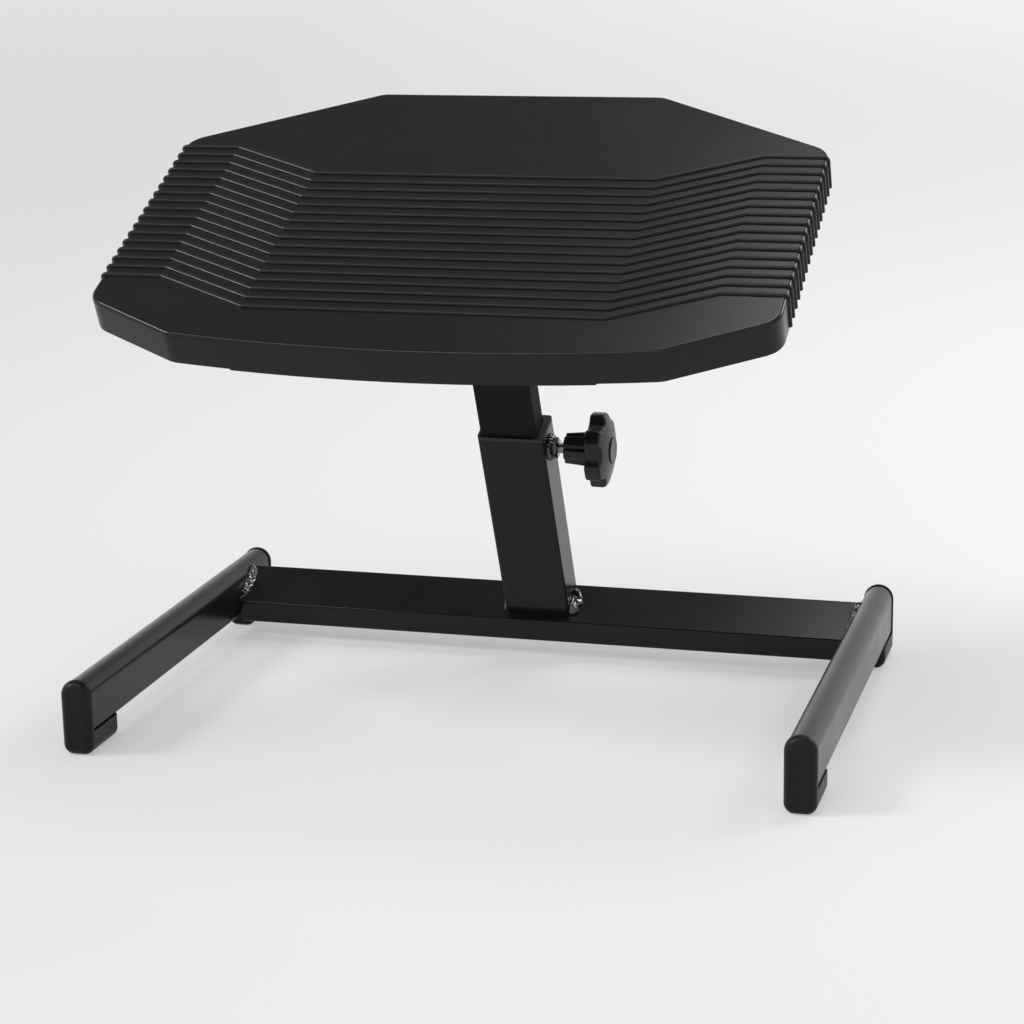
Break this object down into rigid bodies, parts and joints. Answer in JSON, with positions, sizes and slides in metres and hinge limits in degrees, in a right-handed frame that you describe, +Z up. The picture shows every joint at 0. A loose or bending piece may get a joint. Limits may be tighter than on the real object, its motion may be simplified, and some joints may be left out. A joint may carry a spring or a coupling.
{
  "type": "adjustable footrest",
  "caption": "Footrest with a ribbed eight-sided footplate on a leaning telescopic post, set in height by a star knob and standing on an H-shaped tube foot.",
  "frame": {"origin": "on the floor, under the middle of the whole object's box at the stored height", "axes": "+Z up, +X to the right of someone facing the front edge of the footplate (the knob's side), +Y from the front edge towards the raised back edge"},
  "size_m": [0.5074, 0.361, 0.4122],
  "materials": {
    "powder_coat": "satin black powder coat",
    "coated_weld": "glossier black coat over an uneven bead",
    "footplate_plastic": "satin black moulding",
    "cap_plastic": "matt black moulding",
    "bush_plastic": "matt black moulding",
    "knob_plastic": "satin black moulding",
    "zinc_steel": "bright zinc plating"
  },
  "bodies": {
    "base": {"left_leg": "powder_coat", "right_leg": "powder_coat", "crossbar": "powder_coat", "left_leg_weld": "coated_weld", "right_leg_weld": "coated_weld", "outer_post": "powder_coat", "post_weld": "coated_weld", "clamp_nut": "coated_weld", "clamp_nut_weld": "coated_weld", "post_bush": "bush_plastic", "front_left_cap": "cap_plastic", "front_right_cap": "cap_plastic", "rear_left_cap": "cap_plastic", "rear_right_cap": "cap_plastic"},
    "platform": {"inner_post": "powder_coat", "inner_post_guide": "bush_plastic", "mounting_plate": "powder_coat", "mounting_plate_weld": "coated_weld", "footplate": "footplate_plastic", "footplate_screws": "zinc_steel", "footplate_washers": "zinc_steel"},
    "clamp_pad": {"pressure_pad": "bush_plastic"},
    "clamp_screw": {"clamp_stud": "zinc_steel", "clamp_knob": "knob_plastic", "knob_cap": "knob_plastic"}
  },
  "joints": [
    {"name": "height_slide", "type": "slide", "parent": "base", "child": "platform", "axis": [0, -0.4067, 0.9135], "range_m": [-0.1225, 0.0087]},
    {"name": "pad_slide", "type": "slide", "parent": "base", "child": "clamp_pad", "axis": [1, 0, 0], "range_m": [0, 0.0016]},
    {"name": "knob_turn", "type": "hinge", "parent": "clamp_pad", "child": "clamp_screw", "pos_m": [0.024, 0.06877, 0.16948], "axis": [1, 0, 0], "range_deg": [0, 450]}
  ],
  "couplings": [
    {"joint": "pad_slide", "follows": "knob_turn", "m_per_rad": 0.00019894}
  ]
}
